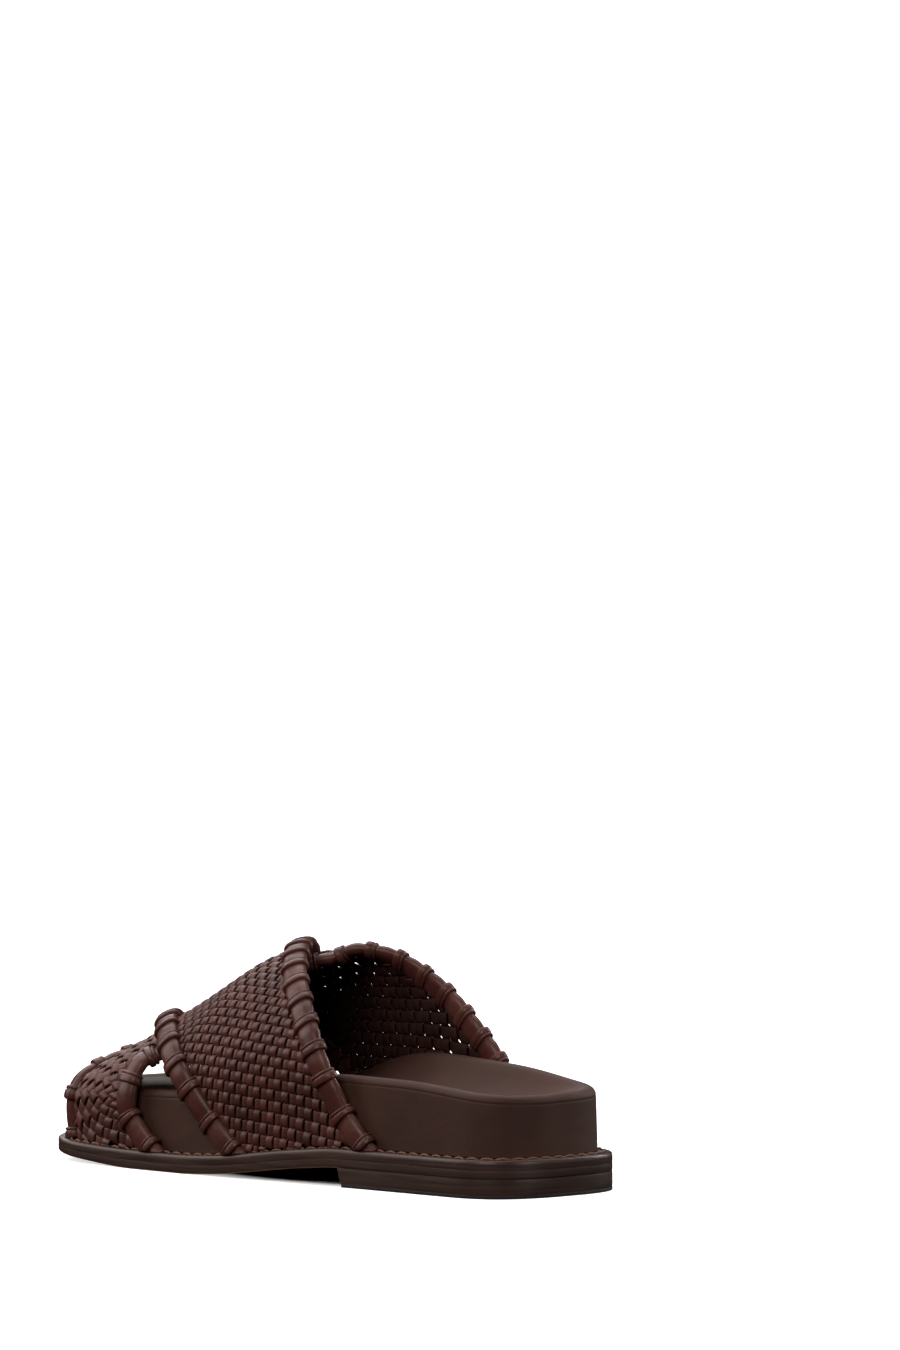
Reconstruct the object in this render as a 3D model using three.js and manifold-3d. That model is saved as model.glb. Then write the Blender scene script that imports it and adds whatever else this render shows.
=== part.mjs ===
// Crossed-band woven leather slide, left shoe.
// Millimetres, +Z up, toe toward +Y, inner side of the foot toward +X.
// The origin is the middle of the bounding box at floor level.
import * as THREE from "three";
import Module from "manifold-3d";

const wasm = await Module();
wasm.setup();

// Driving dimensions of the last and the sole
const SOLE_LENGTH = 260;
const BALL_WIDTH = 91;
const HEEL_WIDTH = 72;
const HEEL_HEIGHT = 7.3;
const TOP_LIFT = 1.3;
const OUTSOLE = 3.3;
const MIDSOLE = 3.6;
const TOE_THINNING = 0.3;
const TOE_SPRING = 5;
const HEEL_CAP = 27;
const TOE_CAP = 43;
const HEEL_ROUNDNESS = 2.7;
const TOE_ROUNDNESS = 3.3;
const SOLE_BEVEL = 0.8;
const BREAST_RAKE = 2.2;

// Driving dimensions of the footbed
const LEDGE = 5.6;
const HEEL_LEDGE = 0.85;
const TOE_LEDGE = 1.5;
const FOOTBED_WALL = 23.5;
const WALL_LEAN = 0.6;
const RIM_ROUND = 3.2;
const LIP_DROP = 0.22;
const CUP_DEPTH = 7;
const CUP_END = 44;
const CUP_SQUARENESS = 2.2;

// Driving dimensions of the bands and their edge rolls
const INSTEP_HEIGHT = 82;
const BAND_WALL = 2.2;
const BAND_INSET = 3.7;
const BAND_BULGE = 0.8;
const WEAVE_RELIEF = 0.4;
const BAND_RISE = 2.3;
const BAND_JOIN = 0.6;
const EDGE_ROOM = 0.6;
const STRIPS_ACROSS = 15;
const STRIPS_ALONG = 40;
const HOLE_SIZE = 1.5;
const HOLE_STEP = 3;
const RISE_FADE = [0.62, 0.92];
const ROLL_WIDTH = 9.4;
const ROLL_THICKNESS = 4.2;
const ROLL_STANDOFF = 1;
const ROLL_RISE = 4.4;
const ROLL_DIP = -2.3;
const DIP_FADE = [-24, -11];
const LOOP_RELIEF = 0.4;
const LOOP_SLOPE = 0.4;
const LOOP_WIDTH = 3.4;
const LOOP_PITCH = 11.8;
const CLEARANCE = 0.3;
const ROLL_SIDES = 8;

// Half widths of the sole: share of the length, outer share and inner share of the heel or ball width
const HEEL_ROWS = [
  [0.0, 0.49, 0.5],
  [0.14, 0.515, 0.52],
  [0.3, 0.54, 0.492],
];
const BALL_ROWS = [
  [0.42, 0.453, 0.396],
  [0.55, 0.495, 0.451],
  [0.66, 0.503, 0.492],
  [0.78, 0.505, 0.492],
  [0.9, 0.5, 0.462],
  [1.0, 0.48, 0.418],
];
const WIDTHS = [
  ...HEEL_ROWS.map(([share, outer, inner]) => [share, outer * HEEL_WIDTH, inner * HEEL_WIDTH]),
  ...BALL_ROWS.map(([share, outer, inner]) => [share, outer * BALL_WIDTH, inner * BALL_WIDTH]),
];

// Underside of the outsole: share of the length, share of the heel height, share of the toe spring
const BREAST = 0.33;
const UNDERSIDE = [
  [0.0, 1, 0],
  [BREAST, 1, 0],
  [0.41, 0.8, 0],
  [0.59, 0.1, 0],
  [0.66, 0, 0],
  [0.755, 0, 0],
  [0.885, 0, 0.4],
  [1.0, 0, 1],
];

// Footbed: share of the length, rim over the ledge on the outer and inner side, seat over the ledge,
// all as shares of the wall height
const FOOTBED = [
  [0.0, 0.96, 0.96, 0.68],
  [0.1, 1.05, 1.1, 0.66],
  [0.22, 1.15, 1.28, 0.68],
  [0.33, 1.17, 1.36, 0.74],
  [0.42, 1.2, 1.42, 0.84],
  [0.5, 1.18, 1.36, 0.92],
  [0.58, 1.1, 1.2, 0.97],
  [0.68, 1.02, 1.05, 0.99],
  [0.8, 0.98, 0.98, 0.96],
  [1.0, 0.93, 0.93, 0.92],
];

// Ridge of the last under the bands: share of the length, height as a share of the instep height,
// offset toward the inner side as a share of the ball width, side wall height as a share of the footbed wall
const RIDGE = [
  [0.2, 1.1, 0.17, 1.35],
  [0.385, 1.07, 0.165, 1.25],
  [0.485, 1.037, 0.143, 1.15],
  [0.54, 1.024, 0.13, 1.1],
  [0.59, 1.0, 0.11, 1.05],
  [0.638, 0.925, 0.1, 1.0],
  [0.68, 0.845, 0.085, 0.96],
  [0.745, 0.73, 0.06, 0.92],
  [0.8, 0.655, 0.045, 0.88],
  [0.85, 0.59, 0.03, 0.84],
  [0.9, 0.53, 0.015, 0.8],
  [0.96, 0.46, 0.0, 0.76],
];
const OUTER_FULLNESS = 2.15;
const INNER_FULLNESS = 2.7;

// Edges of the bands: way across from the band's own rear foot (0) to its toe-side foot (1), then the
// rear and front edge of the upper band and of the lower band as shares of the length
const EDGES = [
  [0.0, 0.282, 0.542, 0.227, 0.542],
  [0.06, 0.328, 0.591, 0.242, 0.591],
  [0.125, 0.355, 0.63, 0.264, 0.629],
  [0.19, 0.387, 0.672, 0.298, 0.67],
  [0.25, 0.428, 0.711, 0.338, 0.709],
  [0.325, 0.485, 0.762, 0.39, 0.758],
  [0.425, 0.557, 0.823, 0.481, 0.823],
  [0.5, 0.602, 0.856, 0.56, 0.862],
  [0.6, 0.66, 0.888, 0.655, 0.898],
  [0.7, 0.713, 0.911, 0.722, 0.92],
  [0.8, 0.763, 0.928, 0.77, 0.934],
  [0.9, 0.776, 0.934, 0.777, 0.938],
  [0.96, 0.753, 0.933, 0.752, 0.937],
  [1.0, 0.723, 0.932, 0.723, 0.935],
];
const UPPER_BAND = { rear: 1, front: 2, direction: 1, curves: {} };
const LOWER_BAND = { rear: 3, front: 4, direction: -1, curves: {} };

const clamp = THREE.MathUtils.clamp;
const lerp = THREE.MathUtils.lerp;
const smoothstep = THREE.MathUtils.smoothstep;

// Smooth curve through one column of a table, without overshoot
function readTable(rows, column, at) {
  const last = rows.length - 1;
  const x = clamp(at, rows[0][0], rows[last][0]);
  let i = 0;
  while (i < last - 1 && x > rows[i + 1][0]) i += 1;
  const slope = (k) => (rows[k + 1][column] - rows[k][column]) / (rows[k + 1][0] - rows[k][0]);
  const tangent = (k) => {
    if (k === 0) return slope(0);
    if (k === last) return slope(last - 1);
    const before = slope(k - 1);
    const after = slope(k);
    return before * after <= 0 ? 0 : (2 * before * after) / (before + after);
  };
  const span = rows[i + 1][0] - rows[i][0];
  const u = (x - rows[i][0]) / span;
  const [a, b] = [rows[i][column], rows[i + 1][column]];
  const [ta, tb] = [tangent(i) * span, tangent(i + 1) * span];
  return a + u * (ta + u * (3 * (b - a) - 2 * ta - tb + u * (2 * (a - b) + ta + tb)));
}

// Superellipse factor that closes a width at the end of a cap
function capFactor(depth, cap, roundness) {
  const u = clamp(depth / cap, 0, 1);
  return (1 - u ** roundness) ** (1 / roundness);
}

// Half width of the sole outline at y, on the outer (side -1) or inner (side 1) side
function halfWidth(y, side, inset = 0) {
  const width = readTable(WIDTHS, side < 0 ? 1 : 2, y / SOLE_LENGTH) - inset;
  const heel = capFactor(HEEL_CAP - y, HEEL_CAP - inset * HEEL_LEDGE, HEEL_ROUNDNESS);
  const toe = capFactor(y - (SOLE_LENGTH - TOE_CAP), TOE_CAP - inset * TOE_LEDGE, TOE_ROUNDNESS);
  return width * heel * toe;
}

// Heights over the floor along the length
function undersideZ(y) {
  const share = y / SOLE_LENGTH;
  return readTable(UNDERSIDE, 1, share) * HEEL_HEIGHT + readTable(UNDERSIDE, 2, share) * TOE_SPRING;
}

function thinning(y) {
  return 1 - TOE_THINNING * smoothstep(y, 0.75 * SOLE_LENGTH, SOLE_LENGTH);
}

function outsoleTopZ(y) {
  return undersideZ(y) + OUTSOLE * thinning(y);
}

function ledgeZ(y) {
  return outsoleTopZ(y) + CLEARANCE + MIDSOLE * thinning(y);
}

// Stations along the length, close together round both ends
const CAP_STEPS = 7;
const HEEL_STEPS = 4;
const WAIST_STEPS = 9;
function stations(inset) {
  const list = [];
  for (let k = 0; k < CAP_STEPS; k += 1) {
    const u = Math.cos((k / CAP_STEPS) * (Math.PI / 2)) ** (2 / HEEL_ROUNDNESS);
    list.push(HEEL_CAP - (HEEL_CAP - inset * HEEL_LEDGE) * u);
  }
  const breast = BREAST * SOLE_LENGTH;
  const bodyEnd = SOLE_LENGTH - TOE_CAP;
  for (let k = 0; k < HEEL_STEPS; k += 1) list.push(lerp(HEEL_CAP, breast, k / HEEL_STEPS));
  for (let k = 0; k < WAIST_STEPS; k += 1) list.push(lerp(breast, bodyEnd, k / WAIST_STEPS));
  for (let k = CAP_STEPS; k >= 0; k -= 1) {
    const u = Math.cos((k / CAP_STEPS) * (Math.PI / 2)) ** (2 / TOE_ROUNDNESS);
    list.push(bodyEnd + (TOE_CAP - inset * TOE_LEDGE) * u);
  }
  return list;
}

// One closed ring of points: inner side from heel to toe, then the outer side back
function outlineRing(inset, height) {
  const ys = stations(inset);
  const inner = ys.map((y) => [halfWidth(y, 1, inset), y, height(y, 1)]);
  const outer = ys.slice(1, -1).map((y) => [-halfWidth(y, -1, inset), y, height(y, -1)]);
  return [...inner, ...outer.reverse()];
}

function solidFrom(points, triangles) {
  const mesh = new wasm.Mesh({
    numProp: 3,
    vertProperties: new Float32Array(points.flat()),
    triVerts: new Uint32Array(triangles.flat()),
  });
  return new wasm.Manifold(mesh);
}

// Side faces between rings stacked upward
function stackSides(rings) {
  const count = rings[0].length;
  const triangles = [];
  for (let r = 0; r + 1 < rings.length; r += 1) {
    for (let i = 0; i < count; i += 1) {
      const j = (i + 1) % count;
      const [a, b, c, d] = [r * count + i, r * count + j, (r + 1) * count + j, (r + 1) * count + i];
      triangles.push([a, b, c], [a, c, d]);
    }
  }
  return triangles;
}

// Faces across a ring, joining each inner point to the outer point of the same station
function ringCover(start, count, upward) {
  const half = count / 2;
  const triangles = [];
  const add = (a, b, c) => triangles.push(upward ? [a, b, c] : [a, c, b]);
  for (let k = 0; k < half; k += 1) {
    const [inner, innerNext] = [start + k, start + k + 1];
    const [outer, outerNext] = [start + ((count - k) % count), start + count - k - 1];
    if (k < half - 1) add(inner, innerNext, outerNext);
    if (k > 0) add(inner, outerNext, outer);
  }
  return triangles;
}

function ringSolid(rings) {
  const count = rings[0].length;
  const triangles = [
    ...stackSides(rings),
    ...ringCover(0, count, false),
    ...ringCover((rings.length - 1) * count, count, true),
  ];
  return solidFrom(rings.flat(), triangles);
}

// Heel pieces: the sole outline up to a straight, raked breast
function heelSlab(bottom, top) {
  const breast = BREAST * SOLE_LENGTH;
  const level = (z) => {
    const end = breast - BREAST_RAKE * (1 - z / HEEL_HEIGHT);
    const ys = stations(0).filter((y) => y < end - 2);
    ys.push(end);
    const inner = ys.map((y) => [halfWidth(y, 1), y, z]);
    const outer = ys.slice(1).map((y) => [-halfWidth(y, -1), y, z]);
    return [...inner, ...outer.reverse()];
  };
  const rings = [level(bottom), level(top)];
  const count = rings[0].length;
  const covers = [];
  for (let k = 1; k + 1 < count; k += 1) {
    covers.push([0, k + 1, k], [count, count + k, count + k + 1]);
  }
  return solidFrom(rings.flat(), [...stackSides(rings), ...covers]);
}

function outsoleSolid() {
  return ringSolid([
    outlineRing(SOLE_BEVEL, undersideZ),
    outlineRing(0, (y) => undersideZ(y) + SOLE_BEVEL * 0.8),
    outlineRing(0, outsoleTopZ),
  ]);
}

function midsoleSolid() {
  return ringSolid([
    outlineRing(0, (y) => outsoleTopZ(y) + CLEARANCE),
    outlineRing(0, (y) => ledgeZ(y) - SOLE_BEVEL),
    outlineRing(SOLE_BEVEL, ledgeZ),
  ]);
}

// Footbed: a tall side wall, a rounded rim and a cupped seat
const SEAT_COLUMNS = 5;
function rimZ(y, side) {
  return ledgeZ(y) + FOOTBED_WALL * readTable(FOOTBED, side < 0 ? 1 : 2, y / SOLE_LENGTH);
}

function seatZ(y) {
  const flat = ledgeZ(y) + FOOTBED_WALL * readTable(FOOTBED, 3, y / SOLE_LENGTH);
  const seatInset = LEDGE + WALL_LEAN + 2 * RIM_ROUND;
  const heelEnd = 1 - smoothstep(y, seatInset, CUP_END);
  const rise = Math.min(CUP_DEPTH, rimZ(y, 1) - flat);
  return flat + rise * 0.8 * heelEnd ** 2;
}

function footbedSolid() {
  const base = outlineRing(LEDGE, (y) => ledgeZ(y) + CLEARANCE);
  const wall = outlineRing(LEDGE + WALL_LEAN, (y, side) => rimZ(y, side) - RIM_ROUND);
  const turn = outlineRing(LEDGE + WALL_LEAN + 0.3 * RIM_ROUND, (y, side) => rimZ(y, side) - 0.3 * RIM_ROUND);
  const crest = outlineRing(LEDGE + WALL_LEAN + RIM_ROUND, rimZ);
  const lip = outlineRing(LEDGE + WALL_LEAN + 2 * RIM_ROUND, (y, side) => lerp(rimZ(y, side), seatZ(y), LIP_DROP));
  const rings = [base, wall, turn, crest, lip];
  const points = rings.flat();
  const count = lip.length;
  const lipStart = (rings.length - 1) * count;
  const triangles = [...stackSides(rings), ...ringCover(0, count, false)];
  const half = count / 2;
  const rowOf = (k) => {
    const innerIndex = lipStart + k;
    const outerIndex = lipStart + ((count - k) % count);
    if (k === 0 || k === half) return [innerIndex];
    const row = [innerIndex];
    const [inner, outer] = [points[innerIndex], points[outerIndex]];
    for (let c = 1; c < SEAT_COLUMNS + 1; c += 1) {
      const u = c / (SEAT_COLUMNS + 1);
      const x = lerp(inner[0], outer[0], u);
      const edge = Math.abs(2 * u - 1) ** CUP_SQUARENESS;
      const side = x > 0 ? inner : outer;
      row.push(points.length);
      points.push([x, inner[1], lerp(seatZ(inner[1]), side[2], edge)]);
    }
    row.push(outerIndex);
    return row;
  };
  let before = rowOf(0);
  for (let k = 1; k <= half; k += 1) {
    const after = rowOf(k);
    const steps = Math.max(before.length, after.length) - 1;
    for (let c = 0; c < steps; c += 1) {
      const [a, b] = [before[Math.min(c, before.length - 1)], before[Math.min(c + 1, before.length - 1)]];
      const [d, e] = [after[Math.min(c, after.length - 1)], after[Math.min(c + 1, after.length - 1)]];
      if (d !== e) triangles.push([a, d, e]);
      if (a !== b) triangles.push([a, e, b]);
    }
    before = after;
  }
  return solidFrom(points, triangles);
}

// Cross-section of the last at y, from the ridge down to the ledge on one side, with its length
const SECTION_STEPS = 28;
function sectionSide(y, side) {
  const share = y / SOLE_LENGTH;
  const foot = ledgeZ(y) + CLEARANCE;
  const ridgeX = readTable(RIDGE, 2, share) * BALL_WIDTH;
  const ridgeZ = readTable(RIDGE, 1, share) * INSTEP_HEIGHT;
  const shoulderZ = foot + readTable(RIDGE, 3, share) * FOOTBED_WALL * 0.8;
  const width = halfWidth(y, side, BAND_INSET);
  const reach = width + BAND_BULGE - side * ridgeX;
  const power = 2 / (side < 0 ? OUTER_FULLNESS : INNER_FULLNESS);
  const points = [];
  for (let k = 0; k <= SECTION_STEPS; k += 1) {
    const angle = (k / SECTION_STEPS) * (Math.PI / 2);
    const out = Math.sin(angle) ** power;
    const up = Math.max(0, Math.cos(angle)) ** power;
    points.push([ridgeX + side * reach * out, shoulderZ + (ridgeZ - shoulderZ) * up]);
  }
  points.push([side * width, foot]);
  const lengths = [0];
  for (let k = 1; k < points.length; k += 1) {
    const step = Math.hypot(points[k][0] - points[k - 1][0], points[k][1] - points[k - 1][1]);
    lengths.push(lengths[k - 1] + step);
  }
  return { points, lengths, total: lengths[lengths.length - 1] };
}

// Point of the last's surface: t is -1 at the outer ledge, 0 on the ridge and 1 at the inner ledge
function lastPoint(y, t) {
  const { points, lengths, total } = sectionSide(y, t < 0 ? -1 : 1);
  const along = Math.min(Math.abs(t), 1) * total;
  let k = 1;
  while (k < lengths.length - 1 && lengths[k] < along) k += 1;
  const u = (along - lengths[k - 1]) / (lengths[k] - lengths[k - 1]);
  const x = lerp(points[k - 1][0], points[k][0], u);
  const z = lerp(points[k - 1][1], points[k][1], u);
  return new THREE.Vector3(x, y, z);
}

const NUDGE = { y: 2, t: 0.03 };
function lastNormal(y, t) {
  const low = Math.max(-1, t - NUDGE.t);
  const high = Math.min(1, t + NUDGE.t);
  const across = lastPoint(y, high).sub(lastPoint(y, low));
  const along = lastPoint(y + NUDGE.y, t).sub(lastPoint(y - NUDGE.y, t));
  const normal = across.cross(along).normalize();
  const levelling = smoothstep(Math.abs(t), 0.8, 1);
  normal.z *= 1 - levelling;
  return normal.normalize();
}

function offsetPoint(y, t, offset) {
  return lastPoint(y, t).addScaledVector(lastNormal(y, t), offset);
}

// Edge of a band in the last's own coordinates
function edgeY(column, direction, t) {
  return readTable(EDGES, column, (1 + direction * t) / 2) * SOLE_LENGTH;
}

const EDGE_SAMPLES = 240;
function edgeCurve(column, direction) {
  const curve = [];
  for (let k = 0; k <= EDGE_SAMPLES; k += 1) {
    const t = -1 + (2 * k) / EDGE_SAMPLES;
    curve.push(lastPoint(edgeY(column, direction, t), t));
  }
  return curve;
}

// Edge of the woven wall, moved inward from the band's edge until the roll's loops have room
const EDGE_STEP = 0.2;
function wovenEdgeY(band, column, t, inward) {
  const room = ROLL_WIDTH / 2 + LOOP_RELIEF + EDGE_ROOM;
  let y = edgeY(column, band.direction, t) + inward * room;
  const near = (point) => Math.min(...band.curves[column].map((other) => other.distanceTo(point)));
  while (near(lastPoint(y, t)) < room) y += inward * EDGE_STEP;
  return y;
}

function wovenSpan(band, t) {
  return [wovenEdgeY(band, band.rear, t, 1), wovenEdgeY(band, band.front, t, -1)];
}

for (const band of [UPPER_BAND, LOWER_BAND]) {
  for (const column of [band.rear, band.front]) band.curves[column] = edgeCurve(column, band.direction);
}

function depthUnderUpperBand(y, t) {
  const { rear, front, direction } = UPPER_BAND;
  return Math.min(y - edgeY(rear, direction, t), edgeY(front, direction, t) - y);
}

function upperRise(t) {
  return BAND_RISE * (1 - smoothstep(Math.abs(t), ...RISE_FADE));
}

// A woven band: strips raised by turns on the outside, a plain inner face
function bandSolid(band, outerOffset, innerOffset) {
  const spans = [];
  for (let j = 0; j <= STRIPS_ALONG; j += 1) spans.push(wovenSpan(band, -1 + (2 * j) / STRIPS_ALONG));
  const pointAt = (i, j, offset) => {
    const t = -1 + (2 * j) / STRIPS_ALONG;
    const y = lerp(spans[j][0], spans[j][1], i / STRIPS_ACROSS);
    const raised = (i + j) % 2 === 0 ? WEAVE_RELIEF : -WEAVE_RELIEF;
    return offsetPoint(y, t, offset(y, t, raised)).toArray();
  };
  const points = [];
  const outer = (i, j) => j * (STRIPS_ACROSS + 1) + i;
  for (let j = 0; j <= STRIPS_ALONG; j += 1) {
    for (let i = 0; i <= STRIPS_ACROSS; i += 1) points.push(pointAt(i, j, outerOffset));
  }
  const stepI = 3;
  const stepJ = 2;
  const columns = STRIPS_ACROSS / stepI;
  const rows = STRIPS_ALONG / stepJ;
  const innerStart = points.length;
  const inner = (i, j) => innerStart + j * (columns + 1) + i;
  for (let j = 0; j <= rows; j += 1) {
    for (let i = 0; i <= columns; i += 1) points.push(pointAt(i * stepI, j * stepJ, innerOffset));
  }
  const triangles = [];
  for (let j = 0; j < STRIPS_ALONG; j += 1) {
    for (let i = 0; i < STRIPS_ACROSS; i += 1) {
      const [a, b, c, d] = [outer(i, j), outer(i, j + 1), outer(i + 1, j + 1), outer(i + 1, j)];
      if ((i + j) % 2 === 0) triangles.push([a, b, c], [a, c, d]);
      else triangles.push([a, b, d], [b, c, d]);
    }
  }
  for (let j = 0; j < rows; j += 1) {
    for (let i = 0; i < columns; i += 1) {
      const [a, b, c, d] = [inner(i, j), inner(i, j + 1), inner(i + 1, j + 1), inner(i + 1, j)];
      triangles.push([a, c, b], [a, d, c]);
    }
  }
  const wallAlong = (fineAt, coarseAt, coarseCount, ratio, flip) => {
    const add = (a, b, c) => triangles.push(flip ? [a, c, b] : [a, b, c]);
    for (let k = 0; k < coarseCount; k += 1) {
      for (let m = 0; m < ratio; m += 1) add(coarseAt(k), fineAt(k * ratio + m), fineAt(k * ratio + m + 1));
      add(coarseAt(k), fineAt((k + 1) * ratio), coarseAt(k + 1));
    }
  };
  wallAlong((m) => outer(0, m), (k) => inner(0, k), rows, stepJ, true);
  wallAlong((m) => outer(STRIPS_ACROSS, m), (k) => inner(columns, k), rows, stepJ, false);
  wallAlong((m) => outer(m, 0), (k) => inner(k, 0), columns, stepI, false);
  wallAlong((m) => outer(m, STRIPS_ALONG), (k) => inner(k, rows), columns, stepI, true);
  return solidFrom(points, triangles);
}

function upperBandSolid() {
  const outside = (y, t, raised) => upperRise(t) + BAND_WALL / 2 + raised;
  const inside = (y, t) => upperRise(t) - BAND_WALL / 2;
  return bandSolid(UPPER_BAND, outside, inside);
}

// The lower band is plain and thicker where the upper band lies on it, so that the two join there
function lowerBandSolid() {
  const outside = (y, t, raised) => {
    const covered = depthUnderUpperBand(y, t) > ROLL_WIDTH / 2 + LOOP_RELIEF;
    const joined = upperRise(t) - BAND_WALL / 2 + BAND_JOIN;
    return covered ? Math.max(joined, 0) : BAND_WALL / 2 + raised;
  };
  const inside = () => -BAND_WALL / 2;
  return bandSolid(LOWER_BAND, outside, inside);
}

// Small gaps between the strips, cut through the wall
function gapCutter(y, t) {
  const turn = new THREE.Quaternion().setFromUnitVectors(new THREE.Vector3(0, 0, 1), lastNormal(y, t));
  const place = new THREE.Matrix4().makeRotationFromQuaternion(turn).setPosition(lastPoint(y, t));
  const corners = [];
  for (const z of [-2 * BAND_WALL, 2 * BAND_WALL]) {
    for (const [x, v] of [[-0.5, -0.5], [0.5, -0.5], [0.5, 0.5], [-0.5, 0.5]]) {
      corners.push(new THREE.Vector3(x * HOLE_SIZE, v * HOLE_SIZE, z).applyMatrix4(place).toArray());
    }
  }
  const faces = [
    [0, 2, 1], [0, 3, 2], [4, 5, 6], [4, 6, 7],
    [0, 1, 5], [0, 5, 4], [1, 2, 6], [1, 6, 5], [2, 3, 7], [2, 7, 6], [3, 0, 4], [3, 4, 7],
  ];
  return solidFrom(corners, faces);
}

// The gaps show on the sides of the bands, where the strips spread
function gapPlaces(band) {
  const places = [];
  for (const [low, high] of [[4, 10], [30, 36]]) {
    for (let j = low; j < high; j += 2) {
      const t = -1 + (2 * (j + 0.5)) / STRIPS_ALONG;
      const [from, to] = wovenSpan(band, t);
      for (let i = 1; i < STRIPS_ACROSS; i += HOLE_STEP) places.push([lerp(from, to, (i + 0.5) / STRIPS_ACROSS), t]);
    }
  }
  return places;
}

function wovenUpperSolid() {
  let upper = upperBandSolid().add(lowerBandSolid());
  for (const band of [UPPER_BAND, LOWER_BAND]) {
    for (const [y, t] of gapPlaces(band)) upper = upper.subtract(gapCutter(y, t));
  }
  return upper;
}

// Edge rolls: flat padded tapes along the band edges, bound by narrow straps
function rollSolid(column, direction, offsetAt) {
  const centres = [];
  const normals = [];
  for (let k = 0; k <= EDGE_SAMPLES; k += 1) {
    const t = -1 + (2 * k) / EDGE_SAMPLES;
    const y = edgeY(column, direction, t);
    centres.push(offsetPoint(y, t, offsetAt(y, t)));
    normals.push(lastNormal(y, t));
  }
  const lengths = [0];
  for (let k = 1; k <= EDGE_SAMPLES; k += 1) lengths.push(lengths[k - 1] + centres[k].distanceTo(centres[k - 1]));
  const total = lengths[EDGE_SAMPLES];
  const loops = Math.floor(total / LOOP_PITCH);
  const pitch = total / loops;
  const rings = [[0, 0]];
  for (let k = 0; k < loops; k += 1) {
    const low = (k + 0.5) * pitch - LOOP_WIDTH / 2;
    const high = low + LOOP_WIDTH;
    rings.push([low - LOOP_SLOPE, 0], [low, LOOP_RELIEF], [high, LOOP_RELIEF], [high + LOOP_SLOPE, 0]);
  }
  rings.push([total, 0]);
  const frameAt = (along) => {
    let k = 1;
    while (k < EDGE_SAMPLES && lengths[k] < along) k += 1;
    const u = (along - lengths[k - 1]) / (lengths[k] - lengths[k - 1]);
    const centre = centres[k - 1].clone().lerp(centres[k], u);
    const tangent = centres[Math.min(k + 2, EDGE_SAMPLES)].clone().sub(centres[Math.max(k - 3, 0)]).normalize();
    const normal = normals[k - 1].clone().lerp(normals[k], u);
    normal.addScaledVector(tangent, -normal.dot(tangent)).normalize();
    return { centre, normal, side: tangent.cross(normal) };
  };
  const points = rings.flatMap(([along, raised]) => {
    const { centre, normal, side } = frameAt(along);
    const ring = [];
    for (let s = 0; s < ROLL_SIDES; s += 1) {
      const angle = (s / ROLL_SIDES) * 2 * Math.PI;
      const point = centre.clone();
      point.addScaledVector(normal, (ROLL_THICKNESS / 2 + raised) * Math.cos(angle));
      point.addScaledVector(side, (ROLL_WIDTH / 2 + raised) * Math.sin(angle));
      point.z = Math.max(point.z, ledgeZ(point.y) + CLEARANCE);
      ring.push(point.toArray());
    }
    return ring;
  });
  const triangles = [];
  for (let r = 0; r + 1 < rings.length; r += 1) {
    for (let s = 0; s < ROLL_SIDES; s += 1) {
      const n = (s + 1) % ROLL_SIDES;
      const [a, b] = [r * ROLL_SIDES + s, r * ROLL_SIDES + n];
      triangles.push([a, b, b + ROLL_SIDES], [a, b + ROLL_SIDES, a + ROLL_SIDES]);
    }
  }
  const end = (rings.length - 1) * ROLL_SIDES;
  for (let s = 1; s + 1 < ROLL_SIDES; s += 1) {
    triangles.push([0, s + 1, s], [end, end + s, end + s + 1]);
  }
  return solidFrom(points, triangles);
}

function upperRollOffset(y, t) {
  return lerp(ROLL_RISE, ROLL_STANDOFF, smoothstep(Math.abs(t), ...RISE_FADE));
}

function lowerRollOffset(y, t) {
  return lerp(ROLL_STANDOFF, ROLL_DIP, smoothstep(depthUnderUpperBand(y, t), ...DIP_FADE));
}

const LEATHER = { color: 0x3f2620, roughness: 0.45, metalness: 0 };
const FOOTBED_LEATHER = { color: 0x46322a, roughness: 0.6, metalness: 0 };
const SOLE_LEATHER = { color: 0x3a2822, roughness: 0.55, metalness: 0 };
const RUBBER = { color: 0x17130f, roughness: 0.8, metalness: 0 };

const group = new THREE.Group();
function addNode(name, solid, look) {
  const { vertProperties, triVerts } = solid.getMesh();
  const geometry = new THREE.BufferGeometry();
  geometry.setAttribute("position", new THREE.BufferAttribute(new Float32Array(vertProperties), 3));
  geometry.setIndex(new THREE.BufferAttribute(new Uint32Array(triVerts), 1));
  geometry.computeVertexNormals();
  const mesh = new THREE.Mesh(geometry, new THREE.MeshStandardMaterial(look));
  mesh.name = name;
  group.add(mesh);
}

addNode("heel_top_lift", heelSlab(0, TOP_LIFT), RUBBER);
addNode("heel_block", heelSlab(TOP_LIFT, HEEL_HEIGHT), SOLE_LEATHER);
addNode("outsole", outsoleSolid(), SOLE_LEATHER);
addNode("midsole", midsoleSolid(), SOLE_LEATHER);
addNode("footbed", footbedSolid(), FOOTBED_LEATHER);
addNode("woven_upper", wovenUpperSolid(), LEATHER);
addNode("upper_band_rear_roll", rollSolid(UPPER_BAND.rear, 1, upperRollOffset), LEATHER);
addNode("upper_band_front_roll", rollSolid(UPPER_BAND.front, 1, upperRollOffset), LEATHER);
addNode("lower_band_rear_roll", rollSolid(LOWER_BAND.rear, -1, lowerRollOffset), LEATHER);
addNode("lower_band_front_roll", rollSolid(LOWER_BAND.front, -1, lowerRollOffset), LEATHER);

// The origin goes to the middle of the bounding box, at floor level
const box = new THREE.Box3().setFromObject(group);
for (const mesh of group.children) {
  mesh.position.x -= (box.min.x + box.max.x) / 2;
  mesh.position.y -= (box.min.y + box.max.y) / 2;
}

export default group;
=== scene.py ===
import math

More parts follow.
